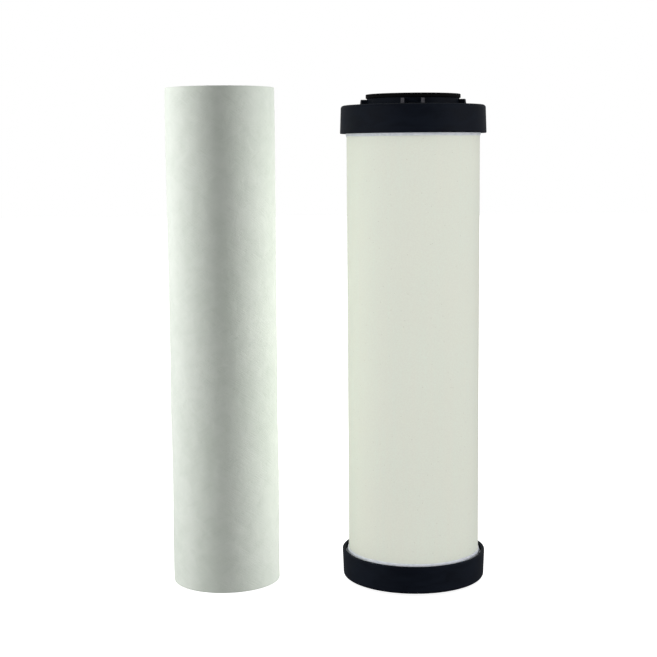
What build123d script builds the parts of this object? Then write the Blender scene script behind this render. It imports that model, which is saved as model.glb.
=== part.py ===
from build123d import *
from math import cos, radians, sin
import os

# A pair of 10 inch replacement water filter cartridges: a ceramic one with moulded end caps, and a
# melt-blown one. Millimetres, +Z up. The origin is on the ceramic cartridge's axis, at the face that it
# stands on. The melt-blown sediment cartridge stands beside it, towards -X. Each piece is written to its
# own STEP file.

os.makedirs("parts", exist_ok=True)

# ---- Both cartridges ----
bore_radius = 14.0  # slides over the centring spigots of a filter housing
cartridge_spacing = 97.0  # between the two axes
layer_gap = 0.05  # between concentric layers wound on one another
same_place = 1e-3  # two lengths closer than this are taken as equal when edges are chosen

# ---- Ceramic cartridge: heights ----
cartridge_length = 248.0  # over both gaskets
gasket_thickness = 2.0
bottom_gasket_proud = 1.2  # how far the lower gasket stands out of its cap
collar_height = 3.4  # from the upper cap's flat face to its gasket seat
skirt_depth = 14.0  # from a cap's closed face to its rim
cap_floor = 2.8
seat_plate = 1.8  # the plastic under the upper gasket
potting_depth = 1.2  # adhesive between a cap's floor and the tube ends
spigot_depth = 14.0  # how far a cap's spigot reaches in from its gasket seat

# ---- Ceramic cartridge: radii ----
gasket_radius = 23.8
gasket_seat_clearance = 0.25  # round the lower gasket, in its recess
collar_radius = 23.2
cap_closed_radius = 36.3
cap_rim_radius = 36.8
cap_wall = 1.6
spigot_wall = 1.3
ceramic_radius = 33.5
ceramic_wall = 8.0
wrap_radius = 25.1
carbon_radius = 24.4
sleeve_radius = 17.6
core_wall = 1.5
core_clearance = 0.1  # between a spigot and the core tube that slides over it

# ---- Edges ----
cap_edge_fillet = 1.5
cap_rim_fillet = 0.45
collar_edge_fillet = 0.3
gasket_edge_fillet = 0.3
ceramic_edge_chamfer = 0.5
fin_edge_fillet = 0.3

# ---- Locating fins round the collar, in four pairs ----
fin_pair_count = 4
fin_turn = -4.4  # degrees, how far the ceramic cartridge stands turned about its axis
fin_half_angle = 10.8  # degrees, from the middle of a pair to each of its fins
fin_foot_radius = 26.9
fin_top_radius = 26.5
fin_thickness = 1.6
fin_height = 2.8
fin_root = 1.0  # how deep a fin's root runs into the collar

# ---- Adhesive ----
adhesive_gap = 0.02  # between the cured adhesive and the walls that it grips
bead_reach = 1.5  # along the tube, past a cap's rim
bead_tip = 0.3  # the bead's thickness at its thin end
bead_foot = 0.5  # the bead's thickness level with the rim
rim_recess = 1.8  # from the rim down to the adhesive at the cap's wall

# ---- Slots of the ceramic cartridge's core tube ----
slot_cut_count = 4  # each cut goes through both sides, so this gives eight columns
slot_width = 2.6
slot_height = 9.0
slot_pitch = 12.4
slot_rows = 16

# ---- Sediment cartridge ----
sediment_length = 252.0
outer_layer_radius = 27.5
middle_layer_radius = 22.4
inner_layer_radius = 18.8
sediment_core_radius = 15.8
window_cut_count = 4
window_width = 6.0
window_height = 6.6
window_corner = 0.8
window_pitch = 9.6
window_rows = 24

# ---- Worked out from the sizes above ----
lower_seat = gasket_thickness
lower_face = bottom_gasket_proud
lower_inside = lower_face + cap_floor
lower_rim = lower_face + skirt_depth
media_foot = lower_inside + potting_depth

upper_seat = cartridge_length - gasket_thickness
upper_face = upper_seat - collar_height
upper_inside = upper_face - cap_floor
upper_rim = upper_face - skirt_depth
media_top = upper_inside - potting_depth
media_middle = (media_foot + media_top) / 2

spigot_radius = bore_radius + spigot_wall
core_bore_radius = spigot_radius + core_clearance
core_radius = core_bore_radius + core_wall
collar_hollow_radius = collar_radius - cap_wall
fin_root_radius = collar_radius - fin_root
fin_top = upper_face + fin_height
fin_angles = [
    fin_turn + pair * 360 / fin_pair_count + side * fin_half_angle
    for pair in range(fin_pair_count)
    for side in (-1, 1)
]
cap_inner_rim_radius = cap_rim_radius - cap_wall
cap_inner_floor_radius = cap_closed_radius - cap_wall


def upright_plane(angle):
    """The vertical plane through the Z axis whose X axis points out at an angle, in degrees, from +X."""
    turn = radians(angle)
    return Plane(origin=(0, 0, 0), x_dir=(cos(turn), sin(turn), 0), z_dir=(sin(turn), -cos(turn), 0))


def circles_at(builder, radius, height):
    """A part's circular edges of one radius at one height."""
    circles = builder.edges().filter_by(GeomType.CIRCLE)
    level_circles = circles.filter_by(lambda e: abs(e.arc_center.Z - height) < same_place)
    return level_circles.filter_by(lambda e: abs(e.radius - radius) < same_place)


def on_fin_corner(edge):
    """Whether a straight edge is the top outer corner of a locating fin."""
    middle = edge.center()
    distance_out = Vector(middle.X, middle.Y).length
    return abs(middle.Z - fin_top) < same_place and abs(distance_out - fin_top_radius) < same_place


def tube(outer_radius, inner_radius, foot, top, x_position=0.0):
    """A plain round tube that stands upright."""
    with BuildPart() as piece:
        with BuildSketch(Plane.XY.offset(foot)):
            with Locations((x_position, 0)):
                Circle(outer_radius)
                Circle(inner_radius, mode=Mode.SUBTRACT)
        extrude(amount=top - foot)
    return piece


def gasket(foot):
    """A flat rubber ring, with its outer edges eased."""
    top = foot + gasket_thickness
    with BuildPart() as ring:
        with BuildSketch(Plane.XY.offset(foot)):
            Circle(gasket_radius)
            Circle(bore_radius, mode=Mode.SUBTRACT)
        extrude(amount=gasket_thickness)
        outer_edges = circles_at(ring, gasket_radius, foot) + circles_at(ring, gasket_radius, top)
        fillet(outer_edges, gasket_edge_fillet)
    return ring


def lower_cap():
    """The lower cup: a drafted skirt, a floor with a gasket recess, and a spigot into the core tube."""
    seat_radius = gasket_radius + gasket_seat_clearance
    spigot_end = lower_seat + spigot_depth
    with BuildPart() as cap:
        with BuildSketch(Plane.XZ):
            with BuildLine():
                Polyline(
                    (bore_radius, lower_seat),
                    (seat_radius, lower_seat),
                    (seat_radius, lower_face),
                    (cap_closed_radius, lower_face),
                    (cap_rim_radius, lower_rim),
                    (cap_inner_rim_radius, lower_rim),
                    (cap_inner_floor_radius, lower_inside),
                    (spigot_radius, lower_inside),
                    (spigot_radius, spigot_end),
                    (bore_radius, spigot_end),
                    close=True,
                )
            make_face()
        revolve(axis=Axis.Z)
        fillet(circles_at(cap, cap_closed_radius, lower_face), cap_edge_fillet)
        rim = circles_at(cap, cap_rim_radius, lower_rim) + circles_at(cap, cap_inner_rim_radius, lower_rim)
        fillet(rim, cap_rim_fillet)
    return cap


def upper_cap():
    """The upper cup: as the lower one, with a raised collar for its gasket and fins round the collar."""
    spigot_end = upper_seat - spigot_depth
    plate_under = upper_seat - seat_plate
    with BuildPart() as cap:
        with BuildSketch(Plane.XZ):
            with BuildLine():
                Polyline(
                    (bore_radius, spigot_end),
                    (spigot_radius, spigot_end),
                    (spigot_radius, plate_under),
                    (collar_hollow_radius, plate_under),
                    (collar_hollow_radius, upper_inside),
                    (cap_inner_floor_radius, upper_inside),
                    (cap_inner_rim_radius, upper_rim),
                    (cap_rim_radius, upper_rim),
                    (cap_closed_radius, upper_face),
                    (collar_radius, upper_face),
                    (collar_radius, upper_seat),
                    (bore_radius, upper_seat),
                    close=True,
                )
            make_face()
        revolve(axis=Axis.Z)
        fillet(circles_at(cap, cap_closed_radius, upper_face), cap_edge_fillet)
        rim = circles_at(cap, cap_rim_radius, upper_rim) + circles_at(cap, cap_inner_rim_radius, upper_rim)
        fillet(rim, cap_rim_fillet)
        fillet(circles_at(cap, collar_radius, upper_seat), collar_edge_fillet)
        for angle in fin_angles:
            with BuildSketch(upright_plane(angle)):
                with BuildLine():
                    Polyline(
                        (fin_root_radius, upper_face - fin_root),
                        (fin_foot_radius, upper_face - fin_root),
                        (fin_foot_radius, upper_face),
                        (fin_top_radius, fin_top),
                        (fin_root_radius, fin_top),
                        close=True,
                    )
                make_face()
            extrude(amount=fin_thickness / 2, both=True)
        straight_edges = cap.edges().filter_by(GeomType.LINE)
        fillet(straight_edges.filter_by(on_fin_corner), fin_edge_fillet)
    return cap


def wall_radius_at(depth):
    """The inner radius of a cap's skirt, at a depth from its closed face."""
    share = (depth - cap_floor) / (skirt_depth - cap_floor)
    return cap_inner_floor_radius + share * (cap_inner_rim_radius - cap_inner_floor_radius)


def potting(closed_face, opens):
    """One cap's adhesive: a disc at the tube ends, the filled gap round the shell, and a bead past the rim.

    Heights are worked out from the cap's closed face; opens is 1 for a cap that opens upwards, or else -1.
    """

    def level(depth):
        return closed_face + opens * depth

    shell_side = ceramic_radius + adhesive_gap
    fill_depth = skirt_depth - rim_recess
    tube_ends = level(cap_floor + potting_depth)
    wall_point = (wall_radius_at(fill_depth) - adhesive_gap, level(fill_depth))
    bead_point = (shell_side + bead_foot, level(skirt_depth - rim_recess / 2))
    tip_point = (shell_side + bead_tip, level(skirt_depth + bead_reach))
    with BuildPart() as adhesive:
        with BuildSketch(Plane.XZ):
            with BuildLine():
                Polyline(
                    tip_point,
                    (shell_side, level(skirt_depth + bead_reach)),
                    (shell_side, tube_ends),
                    (spigot_radius + adhesive_gap, tube_ends),
                    (spigot_radius + adhesive_gap, level(cap_floor)),
                    (cap_inner_floor_radius - adhesive_gap, level(cap_floor)),
                    wall_point,
                )
                ThreePointArc(wall_point, bead_point, tip_point)
            make_face()
        revolve(axis=Axis.Z)
    return adhesive


def upper_potting():
    """The upper cap's adhesive, which also fills the hollow inside the collar."""
    with BuildPart() as adhesive:
        add(potting(upper_face, -1).part)
        with BuildSketch(Plane.XY.offset(upper_inside)):
            Circle(collar_hollow_radius - adhesive_gap)
            Circle(spigot_radius + adhesive_gap, mode=Mode.SUBTRACT)
        extrude(amount=upper_seat - seat_plate - upper_inside)
    return adhesive


def ceramic_shell():
    """The porous ceramic tube, with its end edges broken."""
    with BuildPart() as shell:
        with BuildSketch(Plane.XY.offset(media_foot)):
            Circle(ceramic_radius)
            Circle(ceramic_radius - ceramic_wall, mode=Mode.SUBTRACT)
        extrude(amount=media_top - media_foot)
        ends = circles_at(shell, ceramic_radius, media_foot) + circles_at(shell, ceramic_radius, media_top)
        chamfer(ends, ceramic_edge_chamfer)
    return shell


def core_tube():
    """The slotted tube inside the carbon, whose ends slide over the caps' spigots."""
    with BuildPart() as core:
        with BuildSketch(Plane.XY.offset(media_foot)):
            Circle(core_radius)
            Circle(core_bore_radius, mode=Mode.SUBTRACT)
        extrude(amount=media_top - media_foot)
        for cut in range(slot_cut_count):
            with BuildSketch(upright_plane(cut * 180 / slot_cut_count)):
                with Locations((0, media_middle)):
                    with GridLocations(0, slot_pitch, 1, slot_rows):
                        SlotOverall(slot_height, slot_width, rotation=90)
            extrude(amount=core_radius + core_wall, both=True, mode=Mode.SUBTRACT)
    return core


def sediment_core():
    """The window-frame core of the melt-blown cartridge: rings and uprights round rows of windows."""
    with BuildPart() as core:
        with BuildSketch():
            with Locations((-cartridge_spacing, 0)):
                Circle(sediment_core_radius)
                Circle(bore_radius, mode=Mode.SUBTRACT)
        extrude(amount=sediment_length)
        for cut in range(window_cut_count):
            plane = upright_plane(cut * 180 / window_cut_count)
            plane.origin = (-cartridge_spacing, 0, 0)
            with BuildSketch(plane):
                with Locations((0, sediment_length / 2)):
                    with GridLocations(0, window_pitch, 1, window_rows):
                        RectangleRounded(window_width, window_height, window_corner)
            extrude(amount=outer_layer_radius, both=True, mode=Mode.SUBTRACT)
    return core


def save(piece, name):
    """Labels a finished piece and writes its STEP file."""
    piece.part.label = name
    export_step(piece.part, f"parts/{name}.step")


# ---- Ceramic cartridge, from its foot up and then from its surface in ----
save(gasket(0), "bottom_gasket")
save(lower_cap(), "bottom_end_cap")
save(potting(lower_face, 1), "bottom_potting")
save(upper_potting(), "top_potting")
save(upper_cap(), "top_end_cap")
save(gasket(upper_seat), "top_gasket")
save(ceramic_shell(), "ceramic_shell")
save(tube(wrap_radius, carbon_radius + layer_gap, media_foot, media_top), "prefilter_wrap")
save(tube(carbon_radius, sleeve_radius + layer_gap, media_foot, media_top), "carbon_block")
save(tube(sleeve_radius, core_radius + layer_gap, media_foot, media_top), "postfilter_sleeve")
save(core_tube(), "core_tube")

# ---- Sediment cartridge, from its surface in ----
sediment_layers = {
    "outer_layer": (outer_layer_radius, middle_layer_radius + layer_gap),
    "middle_layer": (middle_layer_radius, inner_layer_radius + layer_gap),
    "inner_layer": (inner_layer_radius, sediment_core_radius + layer_gap),
}
for layer, (outside, inside) in sediment_layers.items():
    save(tube(outside, inside, 0, sediment_length, -cartridge_spacing), layer)
save(sediment_core(), "sediment_core")
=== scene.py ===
import bpy
import math
from mathutils import Matrix, Vector, noise


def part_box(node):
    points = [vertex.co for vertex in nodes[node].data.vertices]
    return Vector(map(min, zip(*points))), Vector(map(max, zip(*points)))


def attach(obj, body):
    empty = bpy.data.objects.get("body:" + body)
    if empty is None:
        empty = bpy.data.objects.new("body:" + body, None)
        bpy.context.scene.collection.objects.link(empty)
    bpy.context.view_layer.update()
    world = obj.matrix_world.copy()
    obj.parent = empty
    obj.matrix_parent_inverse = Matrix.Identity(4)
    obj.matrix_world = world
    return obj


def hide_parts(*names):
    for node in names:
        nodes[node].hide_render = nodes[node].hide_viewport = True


# A pair of water filter cartridges: a ceramic one on the frame's own axis, and a melt-blown sediment one
# beside it. CAD nodes keep their meshes, apart from the melt-blown wall and the two rings of adhesive.

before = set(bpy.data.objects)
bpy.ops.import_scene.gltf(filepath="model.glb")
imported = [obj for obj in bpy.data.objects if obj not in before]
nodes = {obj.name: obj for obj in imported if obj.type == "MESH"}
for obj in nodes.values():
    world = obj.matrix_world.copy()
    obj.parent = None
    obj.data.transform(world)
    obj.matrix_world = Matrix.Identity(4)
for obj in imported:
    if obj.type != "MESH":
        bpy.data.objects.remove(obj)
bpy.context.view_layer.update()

MM = 0.001

# ---- The ceramic cartridge: sizes that the frame's boxes don't give ----
SKIRT_DEPTH = 14.0 * MM  # from a cap's closed face to its rim
SPIGOT_RADIUS = 15.3 * MM
ADHESIVE_GAP = 0.02 * MM
CAP_FLOOR = 2.8 * MM
CAP_WALL = 1.6 * MM
CAP_DRAFT = 0.5 * MM  # how much wider a cap is at its rim than at its closed face
CAP_RIM_RADIUS = 36.8 * MM
COLLAR_HEIGHT = 3.4 * MM  # from the upper cap's flat face to its gasket seat
COLLAR_HOLLOW_RADIUS = 21.6 * MM
FIN_END_RADIUS = 26.1 * MM
FLEECE_RADIUS = 17.0 * MM
RIM_RECESS = 2.6 * MM  # from the rim down to the adhesive at the cap's wall
BEAD_FOOT = 0.42 * MM  # the bead's thickness level with the rim
BEAD_TIP = 0.25 * MM  # the bead's thickness a little short of its end
BEAD_EDGE = 0.08 * MM  # the bead's thickness at its end
UPPER_SHORTFALL = 0.1 * MM  # how far a bead ends short of its CAD solid
LOWER_SHORTFALL = 0.75 * MM
BEAD_SEGMENTS = 240

# ---- The melt-blown cartridge ----
SEDIMENT_SEGMENTS = 288
SEDIMENT_ROWS = 300
END_RINGS = 7
WINDING_ANGLE = math.radians(34)  # of the fibres, from the horizontal
LAYER_GAP = 0.05 * MM
END_LIP = 0.35 * MM  # how far the cut ends' corners reach in, and along the wall
CORNER_CUT = 0.1 * MM
WALL_INSET = 0.1 * MM  # keeps the relief's crests near the CAD solid's radius
CUT_DEPTH = 0.22 * MM  # how rough the knife leaves the ends
CUT_SPAN = 1.6  # across a tuft of the cut ends, in millimetres

# The wall's relief, in millimetres: how far its features stretch, and how high they stand
SWAY_SPAN = 34
SWAY_HEIGHT = 0.34
LUMP_SPAN = 6.5
LUMP_HEIGHT = 0.07
STRAND_SPAN = 3.0
STRAND_LENGTH = 16
STRAND_HEIGHT = 0.03

SHARP_ANGLE = math.radians(50)


def box_of(node):
    """A node's lowest and highest corners, its radius and the X of its upright axis."""
    low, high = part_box(node)
    return low, high, (high.x - low.x) / 2, (high.x + low.x) / 2


# ---- Camera ----
CAMERA_PLACE = Vector((-0.049, -0.700, 0.220))
CAMERA_PITCH = math.radians(6.51)  # downwards
CAMERA_YAW = math.radians(0.474)  # towards +X
CAMERA_ROLL = math.radians(0.43)
CAMERA_LENS = 75.65
CAMERA_SHIFT = -0.030  # stands in for some of the pitch, so that upright edges draw together less
SENSOR_WIDTH = 36.0
NEAREST_SEEN = 0.01


def make_camera():
    """The photographer's camera: a little below the upper cap's height, slightly rolled."""
    forward = Vector(
        (
            math.sin(CAMERA_YAW) * math.cos(CAMERA_PITCH),
            math.cos(CAMERA_YAW) * math.cos(CAMERA_PITCH),
            -math.sin(CAMERA_PITCH),
        )
    )
    level_right = Vector((math.cos(CAMERA_YAW), -math.sin(CAMERA_YAW), 0))
    level_up = level_right.cross(forward)
    right = level_right * math.cos(CAMERA_ROLL) - level_up * math.sin(CAMERA_ROLL)
    up = level_right * math.sin(CAMERA_ROLL) + level_up * math.cos(CAMERA_ROLL)
    data = bpy.data.cameras.new("photo_camera")
    data.sensor_width = SENSOR_WIDTH
    data.lens = CAMERA_LENS
    data.shift_y = CAMERA_SHIFT
    data.clip_start = NEAREST_SEEN
    camera = bpy.data.objects.new("photo_camera", data)
    turn = Matrix((right, up, -forward)).transposed()
    camera.matrix_world = Matrix.Translation(CAMERA_PLACE) @ turn.to_4x4()
    bpy.context.scene.collection.objects.link(camera)
    bpy.context.scene.camera = camera


# ---- Node trees ----
class Wiring:
    """A node tree under construction."""

    def __init__(self, tree):
        self.tree = tree

    def feed(self, node, inputs):
        """Links the inputs that are given as sockets, and sets those that are given as plain values."""
        for key, value in inputs.items():
            if isinstance(value, bpy.types.NodeSocket):
                self.tree.links.new(value, node.inputs[key])
            else:
                node.inputs[key].default_value = value

    def add(self, kind, inputs=None, **settings):
        node = self.tree.nodes.new(kind)
        for key, value in settings.items():
            setattr(node, key, value)
        self.feed(node, inputs or {})
        return node

    def math(self, operation, first, second=0.0):
        return self.add("ShaderNodeMath", {0: first, 1: second}, operation=operation).outputs[0]

    def mixed_numbers(self, share, first, second):
        """Sockets 2 and 3 of a Mix node are its numbers, and output 0 is their mix."""
        return self.add("ShaderNodeMix", {0: share, 2: first, 3: second}, data_type="FLOAT").outputs[0]

    def mixed(self, share, first, second):
        """Sockets 6 and 7 of a Mix node are its colours, and output 2 is their mix."""
        return self.add("ShaderNodeMix", {0: share, 6: first, 7: second}, data_type="RGBA").outputs[2]


class Finish(Wiring):
    """A procedural material under construction, over its piece's own coordinates in millimetres."""

    def __init__(self, name, axis_x=0.0):
        self.material = bpy.data.materials.new(name)
        self.material.use_nodes = True
        super().__init__(self.material.node_tree)
        self.shader = self.tree.nodes["Principled BSDF"]
        source = self.add("ShaderNodeTexCoord")
        self.normal = source.outputs["Normal"]
        centred = {"Vector": source.outputs["Object"], "Scale": (1 / MM,) * 3}
        centred["Location"] = (-axis_x / MM, 0, 0)
        self.place = self.add("ShaderNodeMapping", centred).outputs[0]

    def surface(self, inputs):
        self.feed(self.shader, inputs)

    def stretched(self, vector, scale):
        return self.add("ShaderNodeMapping", {"Vector": vector, "Scale": scale}).outputs[0]

    def part_of(self, vector, axis):
        return self.add("ShaderNodeSeparateXYZ", {"Vector": vector}).outputs[axis]

    def noise(self, vector, size, detail=3.0, roughness=0.5, distortion=0.0):
        """Soft noise from 0 to 1, whose largest features are about size millimetres across."""
        inputs = {"Vector": vector, "Scale": 1 / size, "Detail": detail}
        inputs.update({"Roughness": roughness, "Distortion": distortion})
        return self.add("ShaderNodeTexNoise", inputs).outputs["Fac"]

    def spots(self, vector, size):
        """The distance to the nearest of many scattered points, as a share of the size between them."""
        return self.add("ShaderNodeTexVoronoi", {"Vector": vector, "Scale": 1 / size}).outputs["Distance"]

    def ranged(self, value, low, high, to_low=0.0, to_high=1.0):
        inputs = {"Value": value, "From Min": low, "From Max": high, "To Min": to_low, "To Max": to_high}
        return self.add("ShaderNodeMapRange", inputs, interpolation_type="SMOOTHSTEP").outputs[0]

    def twisted(self, vector, hand, radius):
        """Coordinates that follow a helix of the winding angle, so that what is long in Z winds round."""
        turn_per_mm = hand / (radius / MM * math.tan(WINDING_ANGLE))
        angle = self.math("MULTIPLY", self.part_of(vector, 2), turn_per_mm)
        inputs = {"Vector": vector, "Angle": angle}
        return self.add("ShaderNodeVectorRotate", inputs, rotation_type="Z_AXIS").outputs[0]

    def ridges(self, value, sharpness):
        """Thin crests where soft noise passes its middle value."""
        off_middle = self.math("ABSOLUTE", self.math("SUBTRACT", value, 0.5))
        crest = self.math("SUBTRACT", 1.0, self.math("MULTIPLY", off_middle, sharpness))
        return self.math("MAXIMUM", crest, 0.0)

    def fibres(self, radius, width, length):
        """Matted fibres that wind round the axis both ways: 0 between them, 1 on their crests."""
        layers = []
        for hand in (-1, 1):
            along = self.stretched(self.twisted(self.place, hand, radius), (1, 1, width / length))
            layers.append(self.ridges(self.noise(along, width * 3, 2.0, 0.6, 1.2), 7.0))
        return self.math("MAXIMUM", *layers)

    def bumped(self, layers):
        """Chains bump layers, each a height from 0 to 1 and the millimetres it stands for."""
        normal = None
        for height, depth in layers:
            inputs = {"Height": height, "Distance": depth * MM, "Strength": 1.0}
            if normal:
                inputs["Normal"] = normal
            normal = self.add("ShaderNodeBump", inputs).outputs[0]
        self.surface({"Normal": normal})


# ---- Materials ----
def srgb(red, green, blue):
    """A colour given in 0 to 255 display values, as the linear values that a shader takes."""

    def linear(value):
        value /= 255
        return value / 12.92 if value <= 0.04045 else ((value + 0.055) / 1.055) ** 2.4

    return (linear(red), linear(green), linear(blue), 1.0)


def end_face_share(finish):
    """1 on a piece's flat ends, 0 on its upright walls."""
    facing = finish.math("ABSOLUTE", finish.part_of(finish.normal, 2))
    return finish.ranged(facing, 0.6, 0.9)


def distance_out(finish):
    """The distance from the piece's upright axis, in millimetres."""
    flat = finish.stretched(finish.place, (1, 1, 0))
    return finish.add("ShaderNodeVectorMath", {0: flat}, operation="LENGTH").outputs["Value"]


def growth_rings(finish, spacing):
    """Faint rings round the axis, such as a knife or layers of blown fibre leave on a flat end."""
    flat = finish.stretched(finish.place, (1, 1, 0))
    radius = distance_out(finish)
    wander = finish.math("MULTIPLY", finish.noise(flat, 9, 2.0), spacing * 2.0)
    phase = finish.math("ADD", radius, wander)
    along = finish.add("ShaderNodeCombineXYZ", {0: phase}).outputs[0]
    return finish.noise(along, spacing, 2.0, 0.6)


def melt_blown(name, radius, bright, shaded, fibre_width, axis_x):
    """Matted polypropylene fibre: fine crossing strands with painted highlights on their crests, soft lumps
    and slow changes of density.
    """
    finish = Finish(name, axis_x)
    strands = finish.fibres(radius, fibre_width, fibre_width * 9)
    fine_strands = finish.fibres(radius, fibre_width * 0.45, fibre_width * 5)
    lumps = finish.noise(finish.place, 7.0, 3.0, 0.55, 0.6)
    clouds = finish.noise(finish.stretched(finish.place, (1, 1, 0.45)), 26.0, 2.0, 0.5)
    rings = growth_rings(finish, 1.3)
    ends = end_face_share(finish)
    lump_part = finish.math("MULTIPLY", lumps, 0.45)
    cloud_part = finish.math("MULTIPLY", clouds, 0.55)
    density = finish.mixed(ends, finish.math("ADD", lump_part, cloud_part), rings)
    base = finish.mixed(finish.ranged(density, 0.32, 0.68), shaded, bright)
    # painted highlight on the fibre crests, which leaves the gaps between the strands as painted shade
    crest_highlight_tone = tuple(min(1.0, channel * 1.06) for channel in bright[:3]) + (1.0,)
    colour = finish.mixed(finish.math("MULTIPLY", strands, 0.25), base, crest_highlight_tone)
    finish.surface(
        {
            "Base Color": colour,
            "Roughness": finish.ranged(strands, 0.0, 1.0, 0.93, 0.78),
            "Specular IOR Level": 0.25,
            "Sheen Weight": 0.22,
            "Sheen Roughness": 0.45,
            "Subsurface Weight": 0.12,
            "Subsurface Radius": (1.0, 1.0, 0.95),
            "Subsurface Scale": 1.6 * MM,
        }
    )
    finish.bumped([(lumps, 0.22), (rings, 0.08), (strands, 0.05), (fine_strands, 0.03)])
    return finish.material


def ceramic():
    """Unglazed fired ceramic: fine grain, faint drawing streaks along the tube, a few pores."""
    finish = Finish("fired_ceramic")
    grain = finish.noise(finish.place, 0.7, 4.0, 0.65)
    clouds = finish.noise(finish.place, 34.0, 3.0, 0.5, 0.4)
    streaks = finish.noise(finish.stretched(finish.place, (1, 1, 0.012)), 2.2, 3.0, 0.6)
    pores = finish.ranged(finish.spots(finish.place, 3.4), 0.05, 0.09, 1.0, 0.0)
    tone = finish.math("ADD", finish.math("MULTIPLY", clouds, 0.5), finish.math("MULTIPLY", streaks, 0.5))
    base = finish.mixed(finish.ranged(tone, 0.3, 0.7), srgb(227, 229, 216), srgb(224, 231, 218))
    grained = finish.mixed(finish.ranged(grain, 0.25, 0.75), srgb(222, 224, 212), base)
    colour = finish.mixed(finish.math("MULTIPLY", pores, 0.35), grained, srgb(176, 172, 156))
    finish.surface(
        {
            "Base Color": colour,
            "Roughness": finish.ranged(grain, 0.2, 0.8, 0.62, 0.8),
            "Specular IOR Level": 0.35,
            "Subsurface Weight": 0.08,
            "Subsurface Radius": (1.0, 0.9, 0.75),
            "Subsurface Scale": 1.2 * MM,
        }
    )
    sunk_pores = finish.math("SUBTRACT", 1.0, pores)
    finish.bumped([(streaks, 0.004), (grain, 0.012), (sunk_pores, 0.03)])
    return finish.material


def worn_edges(finish, reach):
    """1 where the surface turns sharply within reach millimetres, broken up by noise; 0 on open faces."""
    rounded = finish.add("ShaderNodeBevel", {"Radius": reach * MM}, samples=4).outputs[0]
    facing = finish.add("ShaderNodeNewGeometry").outputs["Normal"]
    agreement = finish.add("ShaderNodeVectorMath", {0: rounded, 1: facing}, operation="DOT_PRODUCT")
    turn = finish.ranged(agreement.outputs["Value"], 0.8, 0.985, 1.0, 0.0)
    breaks = finish.ranged(finish.noise(finish.place, 3.5, 4.0, 0.6), 0.42, 0.66)
    return finish.math("MULTIPLY", turn, breaks)


def painted_fin_highlight_share(finish):
    """1 on the outer ends of the collar's fins, which carry a painted highlight for the light they catch,
    and 0 elsewhere.
    """
    face = (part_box("top_end_cap")[1].z - COLLAR_HEIGHT) / MM
    above = finish.ranged(finish.part_of(finish.place, 2), face + 0.2, face + 0.5)
    far_out = finish.ranged(distance_out(finish), FIN_END_RADIUS / MM, FIN_END_RADIUS / MM + 0.25)
    patches = finish.ranged(finish.noise(finish.place, 1.4, 3.0), 0.25, 0.5, 0.55, 1.0)
    return finish.math("MULTIPLY", finish.math("MULTIPLY", above, far_out), patches)


def cap_plastic():
    """Moulded blue-black satin plastic, rubbed along its edges, lightly scuffed, with painted highlights on
    its fin ends.
    """
    finish = Finish("cap_plastic")
    skin = finish.noise(finish.place, 0.55, 3.0, 0.6)
    flow = finish.noise(finish.stretched(finish.place, (1, 1, 2.5)), 16.0, 3.0, 0.55, 0.8)
    scuffs = finish.noise(finish.stretched(finish.place, (0.25, 0.25, 3.0)), 2.6, 4.0, 0.7)
    scuffed = finish.ranged(scuffs, 0.6, 0.76)
    worn = worn_edges(finish, 0.55)
    base = finish.mixed(finish.ranged(flow, 0.3, 0.7), srgb(15, 19, 28), srgb(21, 26, 36))
    rubbed = finish.mixed(finish.math("MULTIPLY", worn, 0.5), base, srgb(58, 61, 68))
    # painted highlight: the fins' outer ends turn pale grey, standing for the light they catch
    fin_highlighted = finish.mixed(painted_fin_highlight_share(finish), rubbed, srgb(96, 95, 100))
    colour = finish.mixed(finish.math("MULTIPLY", scuffed, 0.12), fin_highlighted, srgb(52, 56, 62))
    gloss = finish.ranged(flow, 0.25, 0.75, 0.5, 0.6)
    finish.surface(
        {
            "Base Color": colour,
            "Roughness": finish.math("ADD", gloss, finish.math("MULTIPLY", scuffed, 0.15)),
            "Specular IOR Level": 0.05,
        }
    )
    finish.bumped([(flow, 0.03), (skin, 0.008)])
    return finish.material


def gasket_rubber():
    """Black nitrile rubber, matt, with fine cutting rings and a grey bloom on its flat faces."""
    finish = Finish("gasket_rubber")
    skin = finish.noise(finish.place, 0.5, 4.0, 0.65)
    clouds = finish.noise(finish.place, 8.0, 3.0, 0.6)
    dust = finish.ranged(finish.spots(finish.place, 1.9), 0.05, 0.11, 1.0, 0.0)
    flat = end_face_share(finish)
    rings = finish.math("MULTIPLY", growth_rings(finish, 0.8), flat)
    patches = finish.ranged(finish.noise(finish.place, 5.0, 4.0, 0.65, 0.8), 0.38, 0.68)
    bloom = finish.math("MULTIPLY", patches, finish.math("MULTIPLY", flat, 0.5))
    grey = srgb(34, 34, 36)
    base = finish.mixed(finish.ranged(clouds, 0.3, 0.7), srgb(3, 3, 4), srgb(9, 9, 10))
    bloomed = finish.mixed(bloom, base, grey)
    ringed = finish.mixed(finish.math("MULTIPLY", rings, 0.35), bloomed, grey)
    colour = finish.mixed(finish.math("MULTIPLY", dust, 0.12), ringed, srgb(70, 70, 69))
    finish.surface(
        {
            "Base Color": colour,
            "Roughness": finish.ranged(clouds, 0.2, 0.8, 0.72, 0.88),
            "Specular IOR Level": 0.08,
        }
    )
    finish.bumped([(clouds, 0.04), (rings, 0.05), (skin, 0.03)])
    return finish.material


def adhesive():
    """Cured white adhesive with a faint blue cast, smooth where it flowed and dimpled where it shrank."""
    finish = Finish("cured_adhesive")
    dimples = finish.noise(finish.place, 2.4, 3.0, 0.5, 0.5)
    skin = finish.noise(finish.place, 0.6, 2.0)
    base = finish.mixed(finish.ranged(dimples, 0.3, 0.7), srgb(208, 214, 222), srgb(226, 230, 237))
    finish.surface(
        {
            "Base Color": base,
            "Roughness": finish.ranged(dimples, 0.2, 0.8, 0.3, 0.5),
            "Subsurface Weight": 0.2,
            "Subsurface Radius": (0.8, 0.9, 1.0),
            "Subsurface Scale": 1.0 * MM,
        }
    )
    finish.bumped([(dimples, 0.03), (skin, 0.005)])
    return finish.material


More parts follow.
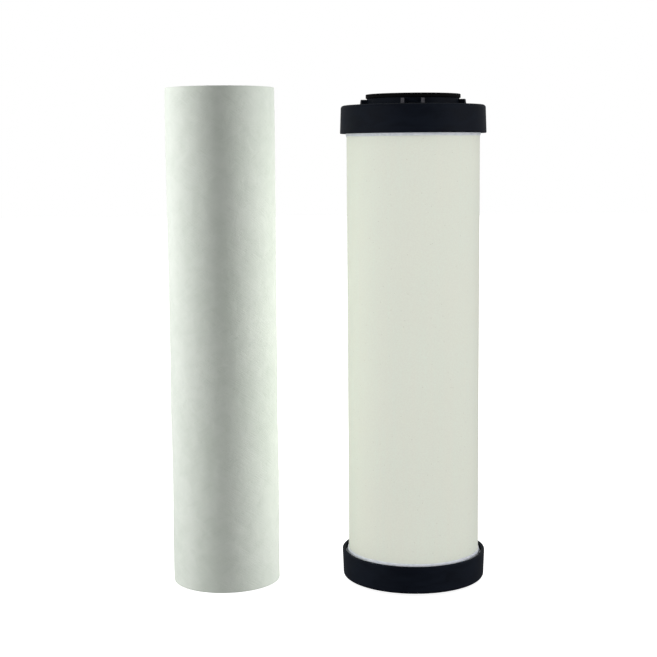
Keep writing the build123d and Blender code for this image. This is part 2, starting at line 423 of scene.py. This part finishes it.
def core_plastic():
    """Natural polypropylene, milky, with moulding flow marks."""
    finish = Finish("natural_polypropylene")
    flow = finish.noise(finish.stretched(finish.place, (1, 1, 0.2)), 6.0, 3.0, 0.55, 0.7)
    skin = finish.noise(finish.place, 0.6, 3.0, 0.6)
    base = finish.mixed(finish.ranged(flow, 0.3, 0.7), srgb(222, 224, 220), srgb(238, 239, 236))
    finish.surface(
        {
            "Base Color": base,
            "Roughness": finish.ranged(flow, 0.2, 0.8, 0.34, 0.5),
            "Subsurface Weight": 0.2,
            "Subsurface Radius": (1.0, 1.0, 1.0),
            "Subsurface Scale": 1.5 * MM,
        }
    )
    finish.bumped([(flow, 0.06), (skin, 0.02)])
    return finish.material


def fleece():
    """Nonwoven fleece: pressed crossing fibres with thin places between."""
    finish = Finish("nonwoven_fleece")
    strands = finish.fibres(FLEECE_RADIUS, 0.5, 4.0)
    clouds = finish.noise(finish.place, 3.0, 3.0, 0.6)
    base = finish.mixed(finish.ranged(clouds, 0.3, 0.7), srgb(206, 205, 199), srgb(228, 228, 223))
    colour = finish.mixed(finish.math("MULTIPLY", strands, 0.6), base, srgb(243, 243, 239))
    roughness = finish.ranged(strands, 0, 1, 0.95, 0.8)
    finish.surface({"Base Color": colour, "Roughness": roughness, "Sheen Weight": 0.2})
    finish.bumped([(clouds, 0.2), (strands, 0.12)])
    return finish.material


def carbon():
    """Pressed activated carbon: black granules, the paler ones with the smoother faces."""
    finish = Finish("pressed_carbon")
    granules = finish.add("ShaderNodeTexVoronoi", {"Vector": finish.place, "Scale": 1 / 0.9})
    tone = finish.part_of(granules.outputs["Color"], 0)
    colour = finish.mixed(tone, srgb(12, 12, 13), srgb(38, 38, 40))
    finish.surface({"Base Color": colour, "Roughness": finish.ranged(tone, 0.0, 1.0, 0.9, 0.5)})
    finish.bumped([(finish.math("SUBTRACT", 1.0, granules.outputs["Distance"]), 0.25)])
    return finish.material


def paint(material, *names):
    """Gives CAD nodes a material."""
    for name in names:
        for place in nodes[name].material_slots:
            place.material = material


# ---- Meshes ----
def outward(angle, distance):
    """A level vector of one length, which points out at an angle."""
    return Vector((math.cos(angle), math.sin(angle), 0)) * distance


def upward(height):
    return Vector((0, 0, height))


def evenly(first, last, steps):
    """Values from first up to but not including last."""
    return [first + (last - first) * step / steps for step in range(steps)]


def ring_mesh(name, section, segments, axis_x, material):
    """A closed ring round an upright axis. section(angle) gives its outline as (radius, height) points."""
    corners = []
    for segment in range(segments):
        angle = math.tau * segment / segments
        for radius, height in section(angle):
            corners.append((axis_x + radius * math.cos(angle), radius * math.sin(angle), height))
    count = len(corners) // segments
    faces = []
    for segment in range(segments):
        here = segment * count
        there = (segment + 1) % segments * count
        for point in range(count):
            after = (point + 1) % count
            faces.append((here + point, there + point, there + after, here + after))
    mesh = bpy.data.meshes.new(name)
    mesh.from_pydata(corners, [], faces)
    mesh.polygons.foreach_set("use_smooth", [True] * len(faces))
    mesh.set_sharp_from_angle(angle=SHARP_ANGLE)
    mesh.materials.append(material)
    piece = bpy.data.objects.new(name, mesh)
    bpy.context.scene.collection.objects.link(piece)
    return piece


def wall_relief(angle, height, radius):
    """How far the blown fibre stands out of its wall: slow sway, soft lumps and crossing strands."""
    place = outward(angle, radius / MM) + upward(height / MM)
    sway = noise.noise(place / SWAY_SPAN + Vector((3.1, 0, 0)))
    lumps = noise.noise(place / LUMP_SPAN)
    strands = 0.0
    for hand in (-1, 1):
        turned = angle + hand * height / (radius * math.tan(WINDING_ANGLE))
        along = outward(turned, radius / MM / STRAND_SPAN)
        crossing = noise.noise(along + upward(height / MM / STRAND_LENGTH + 7 * hand))
        strands += 0.5 - 2 * crossing * crossing
    return (SWAY_HEIGHT * sway + LUMP_HEIGHT * lumps + STRAND_HEIGHT * strands) * MM


def sediment_surface(material):
    """The melt-blown cartridge's outer layer, with a fibrous wall and knife-cut ends."""
    low, high, radius, axis_x = box_of("outer_layer")
    inner_radius = box_of("middle_layer")[2] + LAYER_GAP
    wall_heights = evenly(low.z + END_LIP, high.z - END_LIP, SEDIMENT_ROWS) + [high.z - END_LIP]
    ring_radii = evenly(radius - END_LIP, inner_radius, END_RINGS)

    def cut(angle, ring_radius, height):
        tufts = noise.noise(outward(angle, ring_radius / MM) / CUT_SPAN + upward(height / MM))
        return (0.5 + 0.5 * tufts) * CUT_DEPTH

    def section(angle):
        def wall(height):
            return radius + wall_relief(angle, height, radius) - WALL_INSET

        points = [(wall(height), height) for height in wall_heights]
        points.append((wall(high.z) - CORNER_CUT, high.z - CORNER_CUT))
        points += [(ring, high.z - cut(angle, ring, high.z)) for ring in ring_radii]
        points += [(inner_radius, high.z), (inner_radius, low.z)]
        points += [(ring, low.z + cut(angle, ring, low.z)) for ring in reversed(ring_radii)]
        points.append((wall(low.z) - CORNER_CUT, low.z + CORNER_CUT))
        return points

    piece = ring_mesh("outer_fibre_layer", section, SEDIMENT_SEGMENTS, axis_x, material)
    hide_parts("outer_layer")
    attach(piece, "sediment_cartridge")
    return piece


def skirt_side(depth):
    """The radius of the adhesive against a cap's drafted skirt, at a depth from the cap's closed face."""
    share = (depth - CAP_FLOOR) / (SKIRT_DEPTH - CAP_FLOOR)
    return CAP_RIM_RADIUS - CAP_WALL - CAP_DRAFT * (1 - share) - ADHESIVE_GAP


def adhesive_ring(name, node, opens, material, seed, shortfall):
    """One cap's adhesive, with a bead along the tube that is uneven as a poured bead is.

    opens is 1 for a cap that opens upwards, or else -1. The upper ring also fills the collar's hollow.
    """
    low, high, _, axis_x = box_of(node)
    shell_low, shell_high, shell_radius, _ = box_of("ceramic_shell")
    cap_low = box_of(node.replace("potting", "end_cap"))[0]
    rim = cap_low.z + SKIRT_DEPTH if opens > 0 else cap_low.z
    floor = low.z if opens > 0 else rim + SKIRT_DEPTH - CAP_FLOOR
    tube_end = shell_low.z if opens > 0 else shell_high.z
    tip = high.z if opens > 0 else low.z
    shell_side = shell_radius + ADHESIVE_GAP
    spigot_side = SPIGOT_RADIUS + ADHESIVE_GAP
    collar_side = COLLAR_HOLLOW_RADIUS - ADHESIVE_GAP
    collar_fill = [(spigot_side, high.z), (collar_side, high.z), (collar_side, floor)]
    cap_side = [(spigot_side, floor)] if opens > 0 else collar_fill

    def section(angle):
        swell = noise.noise(outward(angle, 2.2) + upward(seed))
        ripple = noise.noise(outward(angle, 9.0) + upward(seed + 5))
        reach = tip + opens * ((0.22 * swell + 0.08 * ripple) * MM - shortfall)
        foot = BEAD_FOOT + (0.15 * swell + 0.04 * ripple) * MM
        below_rim = RIM_RECESS - (0.7 * swell + 0.1 * ripple) * MM
        recess = rim - opens * below_rim
        top = shell_side + BEAD_TIP * (0.8 + 0.2 * ripple)
        wall = skirt_side(SKIRT_DEPTH - below_rim)

        def fillet_point(share, rise):
            """A point between the tube and the cap's wall, at a share of the way across."""
            hollow = (wall - shell_side) * share ** 1.6
            swollen = foot * 1.2 * share * (1 - share)
            return (shell_side + hollow + swollen, recess + opens * rise)

        points = [
            (shell_side, tube_end),
            (spigot_side, tube_end),
            *cap_side,
            (skirt_side(CAP_FLOOR), floor),
            (wall, recess),
            fillet_point(0.75, 0.12 * MM),
            fillet_point(0.5, 0.45 * MM),
            (shell_side + foot, (rim + recess) / 2 + opens * 0.3 * MM),
            (shell_side + foot * 0.9, rim + (reach - rim) * 0.35),
            (top, rim + (reach - rim) * 0.8),
            (shell_side + BEAD_EDGE, reach),
            (shell_side, reach),
        ]
        return points if opens > 0 else points[::-1]

    piece = ring_mesh(name, section, BEAD_SEGMENTS, axis_x, material)
    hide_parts(node)
    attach(piece, "ceramic_cartridge")
    return piece


# ---- Stage ----
FLOOR_REACH = 4.0
FLOOR_DROP = 0.2 * MM  # below the plane that the cartridges stand on
FLOOR_GLOW = 0.93
FRONT_LEVEL = 0.275  # how bright the room is in front of the object
BACK_LEVEL = 0.55  # and behind it
LEVEL_TURN = 0.4  # how far to each side of the object the change between the two reaches
LOW_REFLECTION = 0.35  # the share of the room's light that glossy skins mirror from below
LOW_DIRECTION = -0.35  # the height of a direction from which that share holds, on the unit sphere


def make_floor():
    """A plain white table that glows a little, as a light table does, and is clear from below."""
    mesh = bpy.data.meshes.new("floor")
    sides = ((-1, -1), (1, -1), (1, 1), (-1, 1))
    corners = [(x * FLOOR_REACH, y * FLOOR_REACH, -FLOOR_DROP) for x, y in sides]
    mesh.from_pydata(corners, [], [(0, 1, 2, 3)])
    floor = bpy.data.objects.new("floor", mesh)
    bpy.context.scene.collection.objects.link(floor)
    finish = Finish("floor_white")
    underside = finish.add("ShaderNodeNewGeometry").outputs["Backfacing"]
    finish.surface(
        {
            "Base Color": (0.9, 0.9, 0.9, 1.0),
            "Roughness": 0.9,
            "Specular IOR Level": 0.0,
            "Emission Color": (1.0, 1.0, 1.0, 1.0),
            "Emission Strength": FLOOR_GLOW,
            "Alpha": finish.math("SUBTRACT", 1.0, underside),
        }
    )
    mesh.materials.append(finish.material)
    floor.visible_diffuse = False
    floor.visible_glossy = False
    return floor


def make_world():
    """White to the camera; to the object, a bright backdrop behind and a dim room in front."""
    world = bpy.data.worlds.new("studio")
    bpy.context.scene.world = world
    world.use_nodes = True
    world.node_tree.nodes.clear()
    wiring = Wiring(world.node_tree)
    heading = wiring.add("ShaderNodeTexCoord").outputs["Generated"]
    direction = wiring.add("ShaderNodeSeparateXYZ", {0: heading})
    path = wiring.add("ShaderNodeLightPath")
    across = {"Value": direction.outputs[1], "From Min": -LEVEL_TURN, "From Max": LEVEL_TURN}
    across.update({"To Min": FRONT_LEVEL, "To Max": BACK_LEVEL})
    level = wiring.add("ShaderNodeMapRange", across).outputs[0]
    low = {"Value": direction.outputs[2], "From Min": LOW_DIRECTION, "From Max": 0.0}
    low["To Min"] = LOW_REFLECTION
    mirrored = wiring.add("ShaderNodeMapRange", low).outputs[0]
    kept = wiring.mixed_numbers(path.outputs["Is Glossy Ray"], 1.0, mirrored)
    lighting = wiring.math("MULTIPLY", level, kept)
    strength = wiring.mixed_numbers(path.outputs["Is Camera Ray"], lighting, 1.0)
    white = {"Color": (1, 1, 1, 1), "Strength": strength}
    background = wiring.add("ShaderNodeBackground", white).outputs[0]
    wiring.add("ShaderNodeOutputWorld", {"Surface": background})


# ---- Lights: each cartridge has its own, because each had its own photograph ----
STRIP_SIZE = (0.16, 0.5)
BOUNCE_SIZE = (0.5, 0.04)
BOUNCE_DISTANCE = 0.30
BOUNCE_HEIGHT = 0.02
BOUNCE_TARGET_HEIGHT = 0.04
BOUNCE_POWER = 0.13
FRONT_SIZE = (0.6, 0.8)
FRONT_DISTANCE = 0.8
FRONT_TARGET_HEIGHT = 0.14
WASH_SIZE = (1.6, 1.6)
WASH_PLACE = Vector((-0.05, 0.1, 1.2))
WASH_TARGET = Vector((-0.05, 0.1, 0))
WASH_POWER = 12.0


def softbox(name, place, target, size, power, receivers, blockers=None):
    """A soft rectangular light that shines only on the receivers; blockers, where given, alone shade it."""
    data = bpy.data.lights.new(name, "AREA")
    data.shape = "RECTANGLE"
    data.size, data.size_y = size
    data.energy = power
    lamp = bpy.data.objects.new(name, data)
    lamp.location = place
    lamp.rotation_euler = (Vector(target) - Vector(place)).to_track_quat("-Z", "Y").to_euler()
    bpy.context.scene.collection.objects.link(lamp)
    for role, pieces in (("receiver_collection", receivers), ("blocker_collection", blockers)):
        if pieces:
            group = bpy.data.collections.new(f"{name}_{role}")
            for piece in pieces:
                group.objects.link(piece)
            setattr(lamp.light_linking, role, group)


def light_sediment(pieces, axis_x):
    """A strip on each side, for bright edges and a dark middle, and a low bounce off the table."""
    for name, across, along, height, power in (
        ("left", -0.42, -0.03, 0.26, 1.80),
        ("right", 0.42, 0.01, 0.17, 1.46),
    ):
        place = (axis_x + across, along, height)
        softbox(f"strip_{name}", place, (axis_x, 0, height), STRIP_SIZE, power, pieces, pieces)
    place = (axis_x, -BOUNCE_DISTANCE, BOUNCE_HEIGHT)
    target = (axis_x, 0, BOUNCE_TARGET_HEIGHT)
    softbox("table_bounce", place, target, BOUNCE_SIZE, BOUNCE_POWER, pieces, pieces)


def light_ceramic(pale_pieces, black_pieces):
    """Three softboxes in front, for an even tone. The middle one leaves the black pieces dark."""
    whole_cartridge = pale_pieces + black_pieces
    for name, azimuth, height, power, receivers in (
        ("front_left", -64, 0.28, 3.15, whole_cartridge),
        ("front", 0, 0.18, 2.4, pale_pieces),
        ("front_right", 66, 0.26, 3.3, whole_cartridge),
    ):
        turn = math.radians(azimuth)
        place = (FRONT_DISTANCE * math.sin(turn), -FRONT_DISTANCE * math.cos(turn), height)
        target = (0, 0, FRONT_TARGET_HEIGHT)
        softbox(name, place, target, FRONT_SIZE, power, receivers, whole_cartridge)


# ---- Build ----
make_camera()
_, _, sediment_radius, sediment_axis_x = box_of("outer_layer")
coarse_tones = (srgb(231, 237, 228), srgb(218, 226, 215))
fine_tones = (srgb(236, 240, 234), srgb(224, 229, 221))
coarse = melt_blown("coarse_melt_blown", sediment_radius, *coarse_tones, 1.0, sediment_axis_x)
fine = melt_blown("fine_melt_blown", sediment_radius, *fine_tones, 0.6, sediment_axis_x)
cured = adhesive()
fibre_wall = sediment_surface(coarse)
top_ring = adhesive_ring("top_adhesive", "top_potting", -1, cured, 1.0, UPPER_SHORTFALL)
bottom_ring = adhesive_ring("bottom_adhesive", "bottom_potting", 1, cured, 4.0, LOWER_SHORTFALL)
paint(fine, "middle_layer", "inner_layer")
paint(ceramic(), "ceramic_shell")
paint(cap_plastic(), "top_end_cap", "bottom_end_cap")
paint(gasket_rubber(), "top_gasket", "bottom_gasket")
paint(core_plastic(), "core_tube", "sediment_core")
paint(fleece(), "prefilter_wrap", "postfilter_sleeve")
paint(carbon(), "carbon_block")

table = make_floor()
make_world()
sediment_nodes = [nodes[name] for name in ("middle_layer", "inner_layer", "sediment_core")]
black_nodes = [nodes[name] for name in ("top_end_cap", "bottom_end_cap", "top_gasket", "bottom_gasket")]
light_sediment([fibre_wall] + sediment_nodes, sediment_axis_x)
light_ceramic([nodes["ceramic_shell"], top_ring, bottom_ring], black_nodes)
softbox("table_wash", WASH_PLACE, WASH_TARGET, WASH_SIZE, WASH_POWER, [table])
bpy.context.scene.view_settings.view_transform = "Standard"
